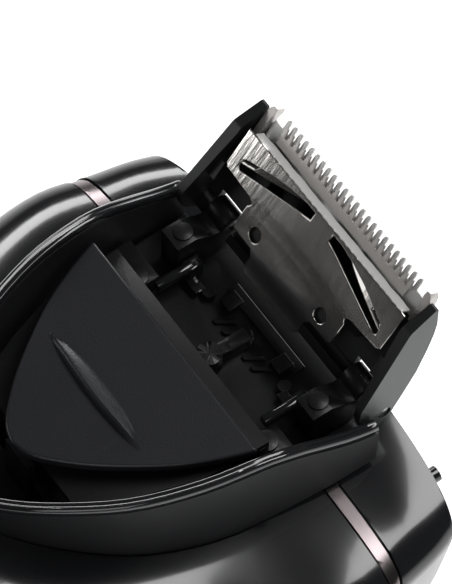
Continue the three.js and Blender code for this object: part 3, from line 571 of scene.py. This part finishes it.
# ---- Trimmer blades: fixed comb, moving cutter and the two end runners ----
# Ground steel 0.45 mm thick; the comb's teeth stand beyond the cutter's, at a pitch of 1.2 mm.
blade_steel = finish("ground_blade", (0.66, 0.66, 0.65), 0.36, metal=0.55, grain=2600, bump=0.3, uneven=0.3,
                     stretch=(0.15, 1, 1), wear=0.04)
COUNT, PITCH = 24, 1.2
SPAN = (COUNT - 1) * PITCH / 2


def toothed(name, count, shape, foot, ends, low, high, lead):
    line = [(-ends, foot), (-ends, lead)]
    for k in range(count):
        x = -(count - 1) * PITCH / 2 + k * PITCH
        line += [(x + dx, y) for dx, y in shape]
    line += [(ends, lead), (ends, foot)]
    return slab(name, line, low, high, "Z", TRIM)


ROUND_TOOTH = [(-0.35, 16.55), (-0.34, 17.8), (-0.24, 18.12), (0, 18.25), (0.24, 18.12), (0.34, 17.8), (0.35, 16.55)]
comb = toothed("comb_blade", COUNT, ROUND_TOOTH, 13.4, SPAN + 1.9, 1.55, 2.0, 16.55)
soften(comb, 0.09, 2, 40)
fit(comb, blade_steel, "trimmer", "tooth_steel", "trimmer_comb")
pink_steel = finish("cutter_steel", (0.55, 0.52, 0.5), 0.34, metal=0.6, grain=2600, bump=0.3, stretch=(1, 0.15, 1))
POINTED_TOOTH = [(-0.4, 16.1), (-0.2, 17.3), (-0.1, 17.46), (0.1, 17.46), (0.2, 17.3), (0.4, 16.1)]
blade = toothed("cutter_blade", COUNT - 1, POINTED_TOOTH, 14.75, SPAN - 0.4, 2.12, 2.52, 16.1)
soften(blade, 0.06, 2, 40)
fit(blade, pink_steel, "trimmer_cutter", "stamped_steel", "trimmer_cutter")
RUNNER = [(15.9, 13.6), (17, 13.6), (17, 17.2), (16.8, 17.9), (16.4, 18.3), (15.8, 18.3), (15.7, 17.6), (15.9, 16.6)]
for side, word in ((-1, "left"), (1, "right")):
    runner = slab(f"runner_{word}", [(side * x, y) for x, y in RUNNER], 1.2, 2.8, "Z", TRIM)
    cut(runner, block("upright", *sorted((side * 15.9, side * 17)), 13.4, 16.4, 2.1, 2.8, TRIM), "UNION")
    soften(runner, 0.22, 3, 40)
    fit(runner, pink_steel, "trimmer", "tooth_steel", f"guard_{word}")

# ---- Trimmer bay: chassis, latches, bridge and drive lever ----
# Matte black chassis with the hinge arms, with the bridge and lever in the same moulding; glossy latch bars. The
# shapes are those of the chassis already made, with their edges broken; fins and bosses are added on its floor.


def dress(mat, width, *names):
    for name in names:
        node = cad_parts[name]
        node.data.materials.clear()
        node.data.materials.append(mat)
        for face in node.data.polygons:
            face.use_smooth = True
        weld = node.modifiers.new("weld", "WELD")
        weld.merge_threshold = 2e-6
        edge = node.modifiers.new("broken_edges", "BEVEL")
        edge.width = width * MM
        edge.segments = 2
        edge.limit_method = "ANGLE"
        edge.angle_limit = math.radians(32)
        edge.harden_normals = True


dark = finish("bay_moulding", (0.0075, 0.0078, 0.0085), 0.38, grain=3000, bump=0.3, uneven=0.15)
dress(dark, 0.12, "trimmer_bay", "bay_crossbar")
dress(dark, 0.05, "drive_lever")
latch_gloss = finish("latch_gloss", (0.014, 0.0145, 0.016), 0.12, grain=900, bump=0.03, coat=0.5)
dress(latch_gloss, 0.2, "latch_left", "latch_right")
DECK = -11.35
fins = []
for side, low_x in ((-1, -5), (1, 1.4)):
    for x in (low_x, low_x + 1.9):
        fins.append(slab("fin", [(x, 0.4), (x + 0.7, 0.4), (x + 2.3, 2.6), (x + 1.6, 2.6)], DECK, DECK + 0.4))
    fins.append(rod("boss", (side * 8.3, 2.2), 0.9, DECK, DECK + 1.05, sides=28))
bay_fins = fins[0]
for other in fins[1:]:
    cut(bay_fins, other, "UNION")
soften(bay_fins, 0.08, 2, 40)
bay_fins.name = "bay_fins"
fit(bay_fins, dark, "handle", "matte_black")

# ---- Shaving caps and cutters: three floating rings with slotted steel guards ----
# Graphite gloss rings, ground steel guards, and the rotating blades under them. They face the table here.
graphite = finish("graphite_ring", (0.03, 0.032, 0.036), 0.16, grain=900, bump=0.04, coat=0.4)
guard_steel = finish("guard_steel", (0.72, 0.71, 0.7), 0.24, metal=1.0, grain=4200, bump=0.25, uneven=0.3)
dress(graphite, 0.25, "cap_ring_1", "cap_ring_2", "cap_ring_3")
dress(guard_steel, 0.12, "cap_guard_1", "cap_guard_2", "cap_guard_3", "cutter_1", "cutter_2", "cutter_3")

# ---- Drive: motor, middle gear and the three cutter gears ----
# Plated steel can, brass middle gear and white nylon gears behind the neck plate.
can_steel = finish("motor_can", (0.5, 0.5, 0.52), 0.3, metal=1.0, grain=1800, bump=0.2, stretch=(1, 1, 0.1))
brass = finish("middle_gear_brass", (0.66, 0.47, 0.2), 0.28, metal=1.0, grain=2400, bump=0.2)
nylon = finish("gear_nylon", (0.78, 0.77, 0.72), 0.5, grain=2600, bump=0.2, uneven=0.1)
dress(can_steel, 0.3, "motor")
dress(brass, 0.08, "middle_gear", "socket_pin_left", "socket_pin_right")
dress(nylon, 0.08, "drive_gear_1", "drive_gear_2", "drive_gear_3", "switch_block")
dress(matte, 0.15, "drive_plate", "charging_socket")

# ---- Power and controls: cell, board, button, lens ----
# A sleeved cell and a green board inside the handle; a bright button on the front and a green lens on the back.
sleeve = finish("cell_sleeve", (0.02, 0.09, 0.3), 0.25, grain=700, bump=0.08, coat=0.3)
board = finish("solder_mask", (0.01, 0.09, 0.035), 0.35, grain=1600, bump=0.3)
lens_green = finish("lens_green", (0.08, 0.55, 0.25), 0.12, grain=500, bump=0.05, coat=0.5)
button_chrome = finish("button_chrome", (0.72, 0.72, 0.74), 0.14, metal=1.0, grain=2200, bump=0.05)
dress(sleeve, 0.5, "battery")
dress(board, 0.1, "circuit_board")
dress(lens_green, 0.2, "status_lens")
dress(button_chrome, 0.3, "power_button")

# ---- Handle fittings: side grips, screws, hinge pins and slide spring ----
# Moulded soft rubber let into the front shell; plain steel fasteners, pins and wire.
rubber = finish("soft_rubber", (0.012, 0.012, 0.013), 0.7, grain=4500, bump=0.6, uneven=0.1)
pin_steel = finish("plain_pin_steel", (0.45, 0.45, 0.46), 0.3, metal=1.0, grain=2600, bump=0.15)
dress(rubber, 0.2, "grip_left", "grip_right")
dress(pin_steel, 0.1, "screw_1", "screw_2", "hinge_pin_left", "hinge_pin_right")
dress(pin_steel, 0.02, "slide_spring")
